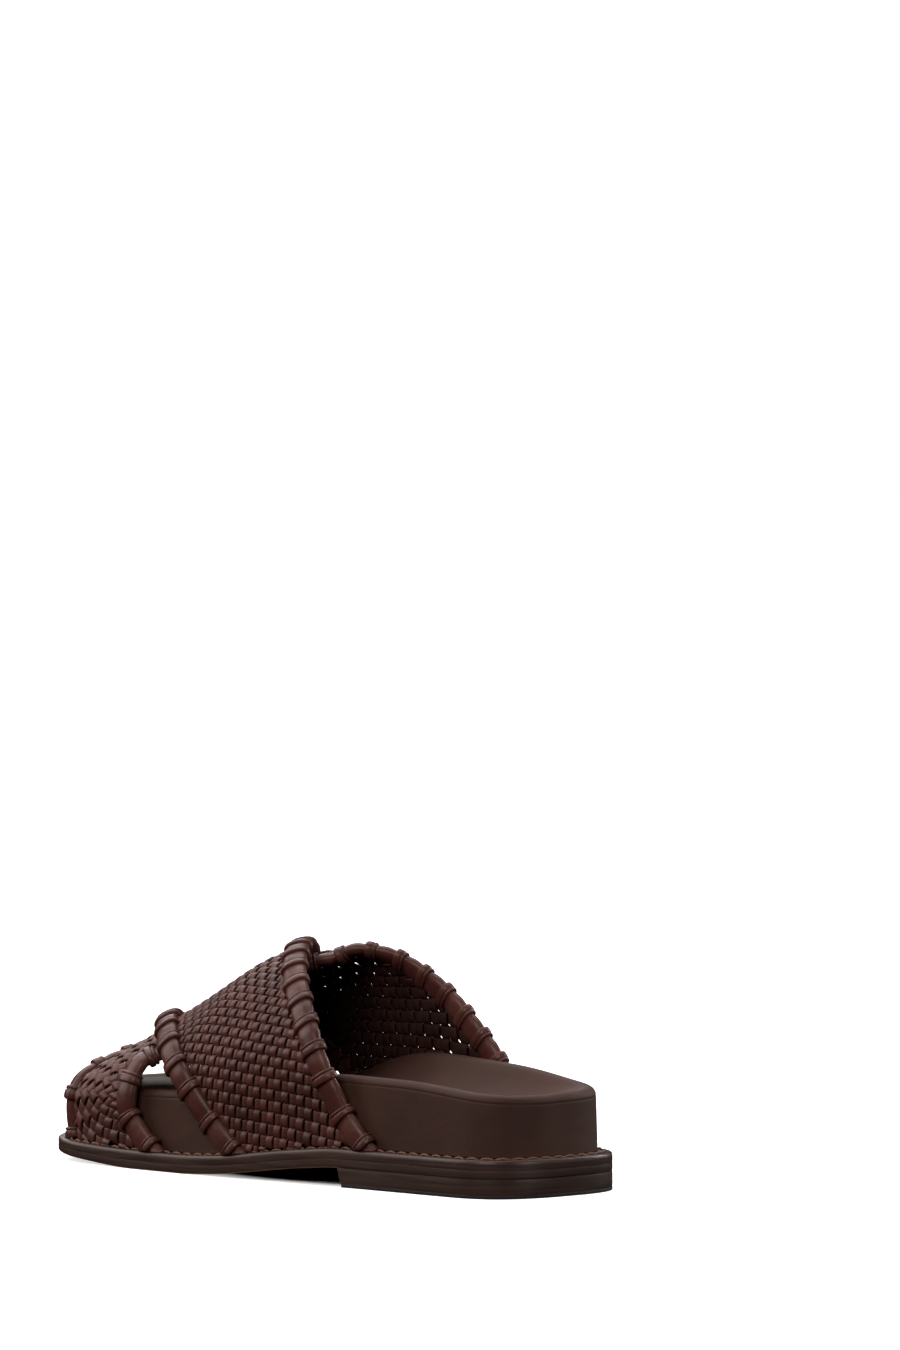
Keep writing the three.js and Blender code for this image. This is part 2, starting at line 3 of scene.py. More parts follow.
import bpy
import numpy as np
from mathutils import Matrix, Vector


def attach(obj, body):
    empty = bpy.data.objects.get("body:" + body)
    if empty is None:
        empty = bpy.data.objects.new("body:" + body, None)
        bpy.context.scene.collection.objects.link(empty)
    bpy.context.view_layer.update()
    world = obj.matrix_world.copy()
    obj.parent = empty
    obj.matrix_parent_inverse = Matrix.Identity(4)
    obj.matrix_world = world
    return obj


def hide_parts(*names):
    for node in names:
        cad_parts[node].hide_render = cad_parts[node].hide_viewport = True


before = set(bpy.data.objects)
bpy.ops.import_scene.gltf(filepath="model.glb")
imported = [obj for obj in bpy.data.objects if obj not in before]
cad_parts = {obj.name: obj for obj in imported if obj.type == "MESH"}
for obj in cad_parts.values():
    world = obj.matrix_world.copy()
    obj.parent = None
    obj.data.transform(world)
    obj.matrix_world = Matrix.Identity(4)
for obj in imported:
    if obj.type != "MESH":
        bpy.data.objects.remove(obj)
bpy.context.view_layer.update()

MM = 0.001

# Sole and footbed, millimetres; lengths are measured from the back of the heel
SOLE_LENGTH = 260
BALL_WIDTH = 91
HEEL_WIDTH = 72
HEEL_HEIGHT = 7.3
TOP_LIFT = 1.3
OUTSOLE = 3.3
MIDSOLE = 3.6
CLEARANCE = 0.3
TOE_THINNING = 0.3
THINNING_FROM = 0.75
TOE_SPRING = 5
HEEL_CAP = 27
TOE_CAP = 43
HEEL_ROUNDNESS = 2.7
TOE_ROUNDNESS = 3.3
BREAST = 0.33
BREAST_RAKE = 2.2
LEDGE = 5.6
HEEL_LEDGE = 0.85
TOE_LEDGE = 1.5
FOOTBED_WALL = 23.5
WALL_LEAN = 0.6
RIM_ROUND = 3.2
CUP_DEPTH = 7
CUP_END = 44
CUP_RISE = 0.8
SHOULDER_SHARE = 0.8

# Bands and edge tapes, millimetres
INSTEP_HEIGHT = 82
BAND_INSET = 3.7
BAND_BULGE = 0.8
BAND_RISE = 2.3
RISE_FADE = (0.62, 0.92)
STRIP_COVER = 0.9
STRIP_THICKNESS = 1.2
STRIP_LIFT = 0.92
STRIP_BIAS = 0.2
STRIP_NARROWING = 0.07
LIFT_POWER = 0.55
STRIP_STEP = 0.78
TUCK = 3
TOE_EASE = 2.2
TOE_EASE_FROM = (212, 240)
TAPE_WIDTH = 9.7
TAPE_THICKNESS = 5.2
TAPE_PINCH = 0.88
EDGE_PINCH = 0.93
TAPE_STANDOFF = 1.0
TAPE_RISE = 4.4
TAPE_DIP = -2.3
DIP_FADE = (-24, -11)
LOOP_PITCH = 12.4
FOOT_LOOPS = (1.8, 17.2, 33)
LOOP_WIDTH = 4.2
LOOP_THICKNESS = 1.2
TAPE_FOOT = 9

# Half widths of the sole: share of the length, outer share and inner share of the heel or ball width
HEEL_ROWS = [
    (0.0, 0.49, 0.5),
    (0.14, 0.515, 0.52),
    (0.3, 0.54, 0.492),
]
BALL_ROWS = [
    (0.42, 0.453, 0.396),
    (0.55, 0.495, 0.451),
    (0.66, 0.503, 0.492),
    (0.78, 0.505, 0.492),
    (0.9, 0.5, 0.462),
    (1.0, 0.48, 0.418),
]
WIDTHS = [(a, b * HEEL_WIDTH, c * HEEL_WIDTH) for a, b, c in HEEL_ROWS]
WIDTHS += [(a, b * BALL_WIDTH, c * BALL_WIDTH) for a, b, c in BALL_ROWS]

# Underside of the outsole: share of the length, share of the heel height, share of the toe spring
UNDERSIDE = [
    (0.0, 1, 0),
    (BREAST, 1, 0),
    (0.41, 0.8, 0),
    (0.59, 0.1, 0),
    (0.66, 0, 0),
    (0.755, 0, 0),
    (0.885, 0, 0.4),
    (1.0, 0, 1),
]

# Footbed: share of the length, rim over the ledge on the outer and inner side, seat over the ledge
FOOTBED = [
    (0.0, 0.96, 0.96, 0.68),
    (0.1, 1.05, 1.1, 0.66),
    (0.22, 1.15, 1.28, 0.68),
    (0.33, 1.17, 1.36, 0.74),
    (0.42, 1.2, 1.42, 0.84),
    (0.5, 1.18, 1.36, 0.92),
    (0.58, 1.1, 1.2, 0.97),
    (0.68, 1.02, 1.05, 0.99),
    (0.8, 0.98, 0.98, 0.96),
    (1.0, 0.93, 0.93, 0.92),
]

# Ridge of the last under the bands: share of the length, height share, inner offset share, side wall share
RIDGE = [
    (0.2, 1.1, 0.17, 1.35),
    (0.385, 1.07, 0.165, 1.25),
    (0.485, 1.037, 0.143, 1.15),
    (0.54, 1.024, 0.13, 1.1),
    (0.59, 1.0, 0.11, 1.05),
    (0.638, 0.925, 0.1, 1.0),
    (0.68, 0.845, 0.085, 0.96),
    (0.745, 0.73, 0.06, 0.92),
    (0.8, 0.655, 0.045, 0.88),
    (0.85, 0.59, 0.03, 0.84),
    (0.9, 0.53, 0.015, 0.8),
    (0.96, 0.46, 0.0, 0.76),
]
OUTER_FULLNESS = 2.15
INNER_FULLNESS = 2.7

# Band edges: way across from the band's rear foot to its toe-side foot, then the rear and front edge of the
# upper band and of the lower band as shares of the length
EDGES = [
    (0.0, 0.282, 0.542, 0.227, 0.542),
    (0.06, 0.328, 0.591, 0.242, 0.591),
    (0.125, 0.355, 0.63, 0.264, 0.629),
    (0.19, 0.387, 0.672, 0.298, 0.67),
    (0.25, 0.428, 0.711, 0.338, 0.709),
    (0.325, 0.485, 0.762, 0.39, 0.758),
    (0.425, 0.557, 0.823, 0.481, 0.823),
    (0.5, 0.602, 0.856, 0.56, 0.862),
    (0.6, 0.66, 0.888, 0.655, 0.898),
    (0.7, 0.713, 0.911, 0.722, 0.92),
    (0.8, 0.763, 0.928, 0.77, 0.934),
    (0.9, 0.776, 0.934, 0.777, 0.938),
    (0.96, 0.753, 0.933, 0.752, 0.937),
    (1.0, 0.723, 0.932, 0.723, 0.935),
]

# Spacing of the strips: (place across the strips in mm, pitch in mm)
UPPER_COLUMNS = [(0, 4.0), (12, 3.5), (25, 3.15), (45, 3.0)]
UPPER_ROWS = [(0, 4.7), (12, 4.6), (27, 4.0), (40, 3.7), (60, 3.4), (90, 3.6)]
LOWER_COLUMNS = [(0, 4.8)]
LOWER_ROWS = [(0, 4.8)]
UPPER = {
    "name": "upper_band",
    "rear": 1,
    "front": 2,
    "direction": 1,
    "column": UPPER_COLUMNS,
    "row": UPPER_ROWS,
}
LOWER = {
    "name": "lower_band",
    "rear": 3,
    "front": 4,
    "direction": -1,
    "column": LOWER_COLUMNS,
    "row": LOWER_ROWS,
}


def read_table(rows, column, at):
    """Smooth curve through one column of a table, without overshoot."""
    table = np.array(rows, float)
    xs, ys = table[:, 0], table[:, column]
    slopes = np.diff(ys) / np.diff(xs)
    before, after = slopes[:-1], slopes[1:]
    both = before + after
    mean = np.where(before * after > 0, 2 * before * after / np.where(both == 0, 1, both), 0)
    tangents = np.concatenate([slopes[:1], mean, slopes[-1:]])
    x = np.clip(np.asarray(at, float), xs[0], xs[-1])
    i = np.clip(np.searchsorted(xs, x, side="right") - 1, 0, len(xs) - 2)
    span = xs[i + 1] - xs[i]
    u = (x - xs[i]) / span
    a, b = ys[i], ys[i + 1]
    ta, tb = tangents[i] * span, tangents[i + 1] * span
    return a + u * (ta + u * (3 * (b - a) - 2 * ta - tb + u * (2 * (a - b) + ta + tb)))


def smoothstep(x, low, high):
    u = np.clip((np.asarray(x, float) - low) / (high - low), 0, 1)
    return u * u * (3 - 2 * u)


def lerp(a, b, u):
    return a + (b - a) * u


def signed_power(values, power):
    return np.sign(values) * np.abs(values) ** power


def unit(v):
    return v / np.maximum(np.linalg.norm(v, axis=-1, keepdims=True), 1e-9)


def running_length(points):
    """Length along a line of points up to each of them."""
    return np.concatenate([[0], np.cumsum(np.linalg.norm(np.diff(points, axis=0), axis=1))])


def points_at(places, lengths, points):
    """Points at places along a line."""
    return np.stack([np.interp(places, lengths, points[:, k]) for k in range(3)], 1)


def cap_factor(depth, cap, roundness):
    """Superellipse factor that closes a width at the end of a cap."""
    u = np.clip(np.asarray(depth, float) / cap, 0, 1)
    return (1 - u**roundness) ** (1 / roundness)


def half_width(y, side, inset=0.0):
    """Half width of the sole outline on the outer (side -1) or inner (side 1) side."""
    width = read_table(WIDTHS, 1 if side < 0 else 2, y / SOLE_LENGTH) - inset
    heel = cap_factor(HEEL_CAP - y, HEEL_CAP - inset * HEEL_LEDGE, HEEL_ROUNDNESS)
    toe = cap_factor(y - (SOLE_LENGTH - TOE_CAP), TOE_CAP - inset * TOE_LEDGE, TOE_ROUNDNESS)
    return width * heel * toe


def underside_z(y):
    share = y / SOLE_LENGTH
    return read_table(UNDERSIDE, 1, share) * HEEL_HEIGHT + read_table(UNDERSIDE, 2, share) * TOE_SPRING


def thinning(y):
    """Share of the outsole's and the midsole's thickness that is left toward the toe."""
    return 1 - TOE_THINNING * smoothstep(y, THINNING_FROM * SOLE_LENGTH, SOLE_LENGTH)


def outsole_top_z(y):
    return underside_z(y) + OUTSOLE * thinning(y)


def ledge_z(y):
    return outsole_top_z(y) + CLEARANCE + MIDSOLE * thinning(y)


def rim_z(y, side):
    """Height of the footbed's rim on one side."""
    return ledge_z(y) + FOOTBED_WALL * read_table(FOOTBED, 1 if side < 0 else 2, y / SOLE_LENGTH)


def seat_z(y):
    """Height of the middle of the footbed's seat, which rises into a cup at the heel."""
    flat = ledge_z(y) + FOOTBED_WALL * read_table(FOOTBED, 3, y / SOLE_LENGTH)
    seat_inset = LEDGE + WALL_LEAN + 2 * RIM_ROUND
    heel_end = 1 - smoothstep(y, seat_inset, CUP_END)
    rise = np.minimum(CUP_DEPTH, rim_z(y, 1) - flat)
    return flat + rise * CUP_RISE * heel_end**2


def to_frame(points):
    """Points in the shoe's own millimetres, as metres in the row frame."""
    moved = np.array(points, float) - (0, SOLE_LENGTH / 2, 0)
    return moved * MM


def add_object(name, data):
    obj = bpy.data.objects.new(name, data)
    bpy.context.scene.collection.objects.link(obj)
    return obj


def make_mesh(name, points, faces):
    """A smooth mesh object from points in the shoe's own millimetres."""
    mesh = bpy.data.meshes.new(name)
    mesh.from_pydata(to_frame(points).tolist(), [], [tuple(int(i) for i in f) for f in faces])
    mesh.validate()
    mesh.update()
    mesh.polygons.foreach_set("use_smooth", [True] * len(mesh.polygons))
    return add_object(name, mesh)


def ring_faces(count, rings, start=0):
    """Quads between closed rings of points that follow one another."""
    faces = []
    for r in range(rings - 1):
        for i in range(count):
            j = (i + 1) % count
            a, b = start + r * count + i, start + r * count + j
            faces.append((a, b, b + count, a + count))
    return faces


# Materials
CLOUD_SCALE = 70.0
ISLAND_SPREAD = 0.14


def rgb(hexadecimal):
    """Linear colour of a picture colour."""
    values = [int(hexadecimal[i : i + 2], 16) / 255 for i in (0, 2, 4)]
    return [v / 12.92 if v <= 0.04045 else ((v + 0.055) / 1.055) ** 2.4 for v in values] + [1.0]


def new_material(name, roughness, specular):
    material = bpy.data.materials.new(name)
    material.use_nodes = True
    nodes = material.node_tree.nodes
    links = material.node_tree.links
    shader = nodes["Principled BSDF"]
    shader.inputs["Roughness"].default_value = roughness
    shader.inputs["Specular IOR Level"].default_value = specular
    place = nodes.new("ShaderNodeTexCoord")
    return material, nodes, links, shader, place


def add_noise(nodes, links, place, scale, detail, stretch=None):
    noise = nodes.new("ShaderNodeTexNoise")
    noise.inputs["Scale"].default_value = scale
    noise.inputs["Detail"].default_value = detail
    if stretch is None:
        links.new(place.outputs["Object"], noise.inputs["Vector"])
    else:
        mapping = nodes.new("ShaderNodeMapping")
        mapping.inputs["Scale"].default_value = stretch
        links.new(place.outputs["Object"], mapping.inputs["Vector"])
        links.new(mapping.outputs["Vector"], noise.inputs["Vector"])
    return noise


def add_ramp(nodes, links, source, stops):
    ramp = nodes.new("ShaderNodeValToRGB")
    elements = ramp.color_ramp.elements
    while len(elements) < len(stops):
        elements.new(0.5)
    for element, (position, colour) in zip(elements, stops):
        element.position = position
        element.color = colour
    links.new(source, ramp.inputs["Fac"])
    return ramp


def add_bump(nodes, links, source, strength, distance, before=None):
    bump = nodes.new("ShaderNodeBump")
    bump.inputs["Strength"].default_value = strength
    bump.inputs["Distance"].default_value = distance
    links.new(source, bump.inputs["Height"])
    if before is not None:
        links.new(before.outputs["Normal"], bump.inputs["Normal"])
    return bump


def add_gloss(nodes, links, source, shader, low, high):
    """Roughness that varies between two values with a texture."""
    gloss = nodes.new("ShaderNodeMapRange")
    gloss.inputs["To Min"].default_value = low
    gloss.inputs["To Max"].default_value = high
    links.new(source, gloss.inputs["Value"])
    links.new(gloss.outputs["Result"], shader.inputs["Roughness"])


def add_cells(nodes, links, place, scale):
    """Cell pattern for the pores of leather."""
    cells = nodes.new("ShaderNodeTexVoronoi")
    cells.inputs["Scale"].default_value = scale
    links.new(place.outputs["Object"], cells.inputs["Vector"])
    return cells


def vary_islands(nodes, links, colour):
    """Makes each loose part of a mesh a little darker or paler than the next."""
    geometry = nodes.new("ShaderNodeNewGeometry")
    shade = nodes.new("ShaderNodeMapRange")
    shade.inputs["To Min"].default_value = 1 - ISLAND_SPREAD
    shade.inputs["To Max"].default_value = 1 + ISLAND_SPREAD
    links.new(geometry.outputs["Random Per Island"], shade.inputs["Value"])
    mix = nodes.new("ShaderNodeMix")
    mix.data_type = "RGBA"
    mix.blend_type = "MULTIPLY"
    mix.inputs["Factor"].default_value = 1.0
    links.new(colour, mix.inputs["A"])
    links.new(shade.outputs["Result"], mix.inputs["B"])
    return mix.outputs["Result"]


def leather(name, colours, roughness, specular, pore_scale, pore_depth, islands=False):
    """Grained leather: clouded colour, pores, and a gloss that varies over them."""
    material, nodes, links, shader, place = new_material(name, roughness, specular)
    clouds = add_noise(nodes, links, place, CLOUD_SCALE, 3.0)
    fine = add_noise(nodes, links, place, pore_scale * 0.5, 5.0)
    stops = [(0.3, rgb(colours[0])), (0.5, rgb(colours[1])), (0.72, rgb(colours[2]))]
    ramp = add_ramp(nodes, links, clouds.outputs["Fac"], stops)
    colour = ramp.outputs["Color"]
    if islands:
        colour = vary_islands(nodes, links, colour)
    links.new(colour, shader.inputs["Base Color"])
    add_gloss(nodes, links, fine.outputs["Fac"], shader, roughness - 0.09, roughness + 0.11)
    cells = add_cells(nodes, links, place, pore_scale)
    first = add_bump(nodes, links, cells.outputs["Distance"], 0.4, pore_depth)
    second = add_bump(nodes, links, fine.outputs["Fac"], 0.16, pore_depth * 1.6, first)
    links.new(second.outputs["Normal"], shader.inputs["Normal"])
    return material


def footbed_leather():
    """Smooth lining leather with soft clouding and fine creases that run across the seat."""
    material, nodes, links, shader, place = new_material("footbed_leather", 0.6, 0.18)
    clouds = add_noise(nodes, links, place, 28.0, 4.0)
    stops = [(0.25, rgb("38231c")), (0.5, rgb("412a22")), (0.78, rgb("4c342b"))]
    ramp = add_ramp(nodes, links, clouds.outputs["Fac"], stops)
    links.new(ramp.outputs["Color"], shader.inputs["Base Color"])
    creases = add_noise(nodes, links, place, 90.0, 6.0, (0.5, 1.0, 2.2))
    pores = add_cells(nodes, links, place, 1400.0)
    first = add_bump(nodes, links, pores.outputs["Distance"], 0.35, 0.00004)
    second = add_bump(nodes, links, creases.outputs["Fac"], 0.3, 0.0005, first)
    links.new(second.outputs["Normal"], shader.inputs["Normal"])
    add_gloss(nodes, links, clouds.outputs["Fac"], shader, 0.52, 0.74)
    return material


def sole_leather(name, colours, roughness):
    """Burnished edge leather with fine level streaks."""
    material, nodes, links, shader, place = new_material(name, roughness, 0.35)
    streaks = add_noise(nodes, links, place, 60.0, 6.0, (0.6, 0.6, 14.0))
    stops = [(0.3, rgb(colours[0])), (0.52, rgb(colours[1])), (0.75, rgb(colours[2]))]
    ramp = add_ramp(nodes, links, streaks.outputs["Fac"], stops)
    links.new(ramp.outputs["Color"], shader.inputs["Base Color"])
    fine = add_noise(nodes, links, place, 900.0, 3.0)
    first = add_bump(nodes, links, streaks.outputs["Fac"], 0.35, 0.00012)
    second = add_bump(nodes, links, fine.outputs["Fac"], 0.25, 0.00005, first)
    links.new(second.outputs["Normal"], shader.inputs["Normal"])
    add_gloss(nodes, links, streaks.outputs["Fac"], shader, roughness - 0.08, roughness + 0.12)
    return material


def heel_rubber():
    material, nodes, links, shader, place = new_material("heel_rubber", 0.7, 0.4)
    fine = add_noise(nodes, links, place, 1500.0, 2.0)
    ramp = add_ramp(nodes, links, fine.outputs["Fac"], [(0.3, rgb("151214")), (0.7, rgb("26211f"))])
    links.new(ramp.outputs["Color"], shader.inputs["Base Color"])
    bump = add_bump(nodes, links, fine.outputs["Fac"], 0.4, 0.00006)
    links.new(bump.outputs["Normal"], shader.inputs["Normal"])
    return material


def thread_material():
    material, nodes, links, shader, place = new_material("thread", 0.55, 0.4)
    fibres = add_noise(nodes, links, place, 2600.0, 3.0)
    ramp = add_ramp(nodes, links, fibres.outputs["Fac"], [(0.3, rgb("4c2c1e")), (0.7, rgb("875a3e"))])
    links.new(ramp.outputs["Color"], shader.inputs["Base Color"])
    bump = add_bump(nodes, links, fibres.outputs["Fac"], 0.5, 0.0001)
    links.new(bump.outputs["Normal"], shader.inputs["Normal"])
    return material


def finish_piece(obj, material, slot, *nodes):
    """Gives a piece its material and its place in the frame."""
    obj.data.materials.append(material)
    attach(obj, "root")
    if nodes:
        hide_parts(*nodes)


# Sole pieces: rings along the outline, stacked upward
OUTLINE_STEPS = 60
CAP_STEPS = 22
SHARP_TURN = 50
SOLE_JOIN = 0.2
BLOCK_GAPS = (0.04, 0.02)

# Rounding of the lower and the upper edge of each sole piece, millimetres
OUTSOLE_EDGE = (0.3, 0.06)
MIDSOLE_EDGE = (0.06, 0.9)
BLOCK_EDGE = (0.1, 0.12)
LIFT_EDGE = (0.2, 0.1)

# Levels of the rings of an edge, with their insets as shares of the lower and the upper rounding
EDGE_LEVELS = [0, 0, 0.12, 0.25, 0.5, 0.75, 0.9, 1, 1]
LOW_INSETS = [2.2, 1, 0.25, 0]
HIGH_INSETS = [0, 0.04, 0.35, 1, 2.2]


def outline_stations(inset, end=None):
    """Lengths along the sole, close together round both ends."""
    heel_u = np.cos(np.arange(CAP_STEPS) / CAP_STEPS * math.pi / 2) ** (2 / HEEL_ROUNDNESS)
    heel = HEEL_CAP - (HEEL_CAP - inset * HEEL_LEDGE) * heel_u
    if end is not None:
        return np.concatenate([heel, np.linspace(HEEL_CAP, end, OUTLINE_STEPS // 2)])
    body_end = SOLE_LENGTH - TOE_CAP
    middle = np.linspace(HEEL_CAP, body_end, OUTLINE_STEPS)[:-1]
    toe_u = np.cos(np.arange(CAP_STEPS, -1, -1) / CAP_STEPS * math.pi / 2) ** (2 / TOE_ROUNDNESS)
    return np.concatenate([heel, middle, body_end + (TOE_CAP - inset * TOE_LEDGE) * toe_u])


def outline_ring(inset, height, end=None):
    """One closed ring: the inner side from heel to toe, then the outer side back."""
    ys = outline_stations(inset, end)
    inner = np.stack([half_width(ys, 1, inset), ys, height(ys, 1)], 1)
    last = len(ys) if end is not None else len(ys) - 1
    back = ys[1:last]
    outer = np.stack([-half_width(back, -1, inset), back, height(back, -1)], 1)
    return np.concatenate([inner, outer[::-1]])


def stack_object(name, profile, end_at=None):
    """A closed piece from (inset, height function) rings, with flat covers."""
    ends = [end_at(level) if end_at else None for level in EDGE_LEVELS]
    rings = [outline_ring(inset, height, end) for (inset, height), end in zip(profile, ends)]
    count = len(rings[0])
    points = np.concatenate(rings)
    faces = ring_faces(count, len(rings))
    half = count // 2
    for start, upward in ((0, False), ((len(rings) - 1) * count, True)):
        for k in range(half):
            a, b = start + k, start + k + 1
            c, d = start + count - k - 1, start + (count - k) % count
            quad = list(dict.fromkeys([a, b, c, d]))
            if len(quad) > 2:
                faces.append(tuple(quad if upward else quad[::-1]))
    stacked = make_mesh(name, points, faces)
    stacked.data.set_sharp_from_angle(angle=math.radians(SHARP_TURN))
    return stacked


def edge_profile(bottom, top, low_round, high_round):
    """Edge between two heights with rounded corners: (inset, height function) rings."""
    insets = [low_round * share for share in LOW_INSETS]
    insets += [high_round * share for share in HIGH_INSETS]

    def height_at(share):
        return lambda y, side: lerp(bottom(y), top(y), share)

    return [(inset, height_at(share)) for share, inset in zip(EDGE_LEVELS, insets)]


def level_at(z):
    """Height function of a level plane."""
    return lambda y: z + 0 * y


def midsole_bottom_z(y):
    return outsole_top_z(y) + CLEARANCE * SOLE_JOIN


def breast_y(z):
    """Place of the heel's raked breast at a height."""
    return BREAST * SOLE_LENGTH - BREAST_RAKE * (1 - z / HEEL_HEIGHT)


def block_end(level):
    return breast_y(lerp(TOP_LIFT, HEEL_HEIGHT, level))


def lift_end(level):
    return breast_y(0.0)


def build_sole(materials):
    outsole = stack_object("outsole_edge", edge_profile(underside_z, outsole_top_z, *OUTSOLE_EDGE))
    finish_piece(outsole, materials["sole"], "sole_leather", "outsole")
    # The lowest rings forward of the heel show the raw cut of the leather
    outsole.data.materials.append(materials["raw"])
    around = len(outline_ring(0.0, lambda y, side: 0 * y))
    for face in outsole.data.polygons[: 2 * around]:
        if face.center.y > (BREAST * SOLE_LENGTH - SOLE_LENGTH / 2) * MM:
            face.material_index = 1
    midsole = stack_object("midsole_edge", edge_profile(midsole_bottom_z, ledge_z, *MIDSOLE_EDGE))
    finish_piece(midsole, materials["midsole"], "sole_leather", "midsole")
    block_low, block_high = level_at(TOP_LIFT + BLOCK_GAPS[0]), level_at(HEEL_HEIGHT - BLOCK_GAPS[1])
    block = stack_object("heel_block_edge", edge_profile(block_low, block_high, *BLOCK_EDGE), block_end)
    finish_piece(block, materials["sole"], "sole_leather", "heel_block")
    lift_profile = edge_profile(level_at(0.0), level_at(TOP_LIFT), *LIFT_EDGE)
    lift = stack_object("heel_lift_edge", lift_profile, lift_end)
    finish_piece(lift, materials["rubber"], "heel_rubber", "heel_top_lift")


# Footbed: side wall, rounded rim with the seam of the top cover, and a cupped seat
SEAT_COLUMNS = 26
SEAT_CROWN = 2.4
WALL_LEVELS = (0.0, 0.03, 0.35, 0.7, 0.9)
WALL_TOP = 1.15
WALL_JOIN = 0.3

# Rim, as shares of its radius: inset past the wall, depth under the crest
RIM_PROFILE = [
    (0.0, 1.15),
    (0.01, 1.02),
    (0.08, 0.94),
    (0.03, 0.86),
    (0.04, 0.66),
    (0.14, 0.42),
    (0.32, 0.2),
    (0.58, 0.06),
    (0.9, 0.0),
    (1.3, 0.03),
    (1.7, 0.16),
    (2.0, 0.36),
]


def build_footbed(material):
    """Rings up the wall and over the rim, then rows across the seat."""
    rings = []
    for share in WALL_LEVELS:

        def wall(y, side, share=share):
            return lerp(ledge_z(y) + CLEARANCE * WALL_JOIN, rim_z(y, side) - RIM_ROUND * WALL_TOP, share)

        rings.append(outline_ring(LEDGE + WALL_LEAN * share, wall))
    for inward, down in RIM_PROFILE:

        def rim(y, side, down=down):
            return rim_z(y, side) - RIM_ROUND * down

        rings.append(outline_ring(LEDGE + WALL_LEAN + RIM_ROUND * inward, rim))
    count = len(rings[0])
    points = np.concatenate(rings).tolist()
    faces = ring_faces(count, len(rings))
    start = (len(rings) - 1) * count
    half = count // 2
    rows = []
    for k in range(half + 1):
        inner_index = start + k
        outer_index = start + (count - k) % count
        inner, outer = points[inner_index], points[outer_index]
        if k in (0, half):
            rows.append([inner_index] * (SEAT_COLUMNS + 2))
            continue
        row = [inner_index]
        for c in range(1, SEAT_COLUMNS + 1):
            u = c / (SEAT_COLUMNS + 1)
            x = lerp(inner[0], outer[0], u)
            side = inner if x > 0 else outer
            edge = abs(2 * u - 1) ** SEAT_CROWN
            row.append(len(points))
            points.append([x, inner[1], float(lerp(seat_z(inner[1]), side[2], edge))])
        row.append(outer_index)
        rows.append(row)
    for before, after in zip(rows, rows[1:]):
        for c in range(SEAT_COLUMNS + 1):
            quad = list(dict.fromkeys([before[c], after[c], after[c + 1], before[c + 1]]))
            if len(quad) > 2:
                faces.append(tuple(quad))
    faces.append(tuple(range(count))[::-1])
    footbed = make_mesh("footbed_cover", points, faces)
    finish_piece(footbed, material, "footbed_leather", "footbed")


# The last: points over y and t; t is -1 at the outer ledge, 0 on the ridge and 1 at the inner ledge
GRID_Y = np.arange(20.0, 262.0, 1.0)
GRID_T = np.linspace(-1.6, 1.6, 321)
SECTION_STEPS = 90
TOE_GAP = 0.5


def section(y, side):
    """Outline of the last across the shoe on one side, from the ridge down to the ledge."""
    share = y / SOLE_LENGTH
    foot = float(ledge_z(y)) + CLEARANCE
    ridge_x = float(read_table(RIDGE, 2, share)) * BALL_WIDTH
    ridge_z = float(read_table(RIDGE, 1, share)) * INSTEP_HEIGHT
    shoulder = foot + float(read_table(RIDGE, 3, share)) * FOOTBED_WALL * SHOULDER_SHARE
    width = float(half_width(y, side, BAND_INSET))
    reach = width + BAND_BULGE - side * ridge_x
    power = 2 / (OUTER_FULLNESS if side < 0 else INNER_FULLNESS)
    angle = np.linspace(0, math.pi / 2, SECTION_STEPS)
    out = np.sin(angle) ** power
    up = np.maximum(0, np.cos(angle)) ** power
    x = np.append(ridge_x + side * reach * out, side * width)
    z = np.append(shoulder + (ridge_z - shoulder) * up, foot)
    lengths = np.concatenate([[0], np.cumsum(np.hypot(np.diff(x), np.diff(z)))])
    return x, z, lengths


def last_grid():
    """Points of the last; past the ledge they go straight down."""
    grid = np.zeros((len(GRID_Y), len(GRID_T), 3))
    grid[:, :, 1] = GRID_Y[:, None]
    for k, y in enumerate(GRID_Y):
        for side in (-1, 1):
            x, z, lengths = section(min(y, SOLE_LENGTH - BAND_INSET * TOE_LEDGE - TOE_GAP), side)
            chosen = GRID_T <= 0 if side < 0 else GRID_T > 0
            along = np.abs(GRID_T[chosen])
            inside = np.minimum(along, 1) * lengths[-1]
            grid[k, chosen, 0] = np.interp(inside, lengths, x)
            below = np.maximum(along - 1, 0) * lengths[-1]
            grid[k, chosen, 2] = np.interp(inside, lengths, z) - below
    return grid


LAST = last_grid()


def cubic_weights(u):
    return (
        -0.5 * u + u**2 - 0.5 * u**3,
        1 - 2.5 * u**2 + 1.5 * u**3,
        0.5 * u + 2 * u**2 - 1.5 * u**3,
        -0.5 * u**2 + 0.5 * u**3,
    )


def read_grid(y, t):
    """Smooth point of the last for arrays of y and t."""
    gy = np.clip(np.asarray(y, float) - GRID_Y[0], 1, len(GRID_Y) - 3.001)
    gt = np.clip((np.asarray(t, float) - GRID_T[0]) / (GRID_T[1] - GRID_T[0]), 1, len(GRID_T) - 3.001)
    iy, it = gy.astype(int), gt.astype(int)
    wy, wt = cubic_weights(gy - iy), cubic_weights(gt - it)
    total = 0
    for a in range(4):
        for b in range(4):
            total = total + (wy[a] * wt[b])[..., None] * LAST[iy + a - 1, it + b - 1]
    return total


def partials(y, t):
    """Slopes of the last along y and along t."""
    dy, dt = 1.5, 0.012
    along = (read_grid(y + dy, t) - read_grid(y - dy, t)) / (2 * dy)
    across = (read_grid(y, t + dt) - read_grid(y, t - dt)) / (2 * dt)
    return along, across


def surface_normal(y, t):
    along, across = partials(y, t)
    return unit(np.cross(across, along))


def edge_y(column, direction, t):
    return read_table(EDGES, column, (1 + direction * np.asarray(t, float)) / 2) * SOLE_LENGTH


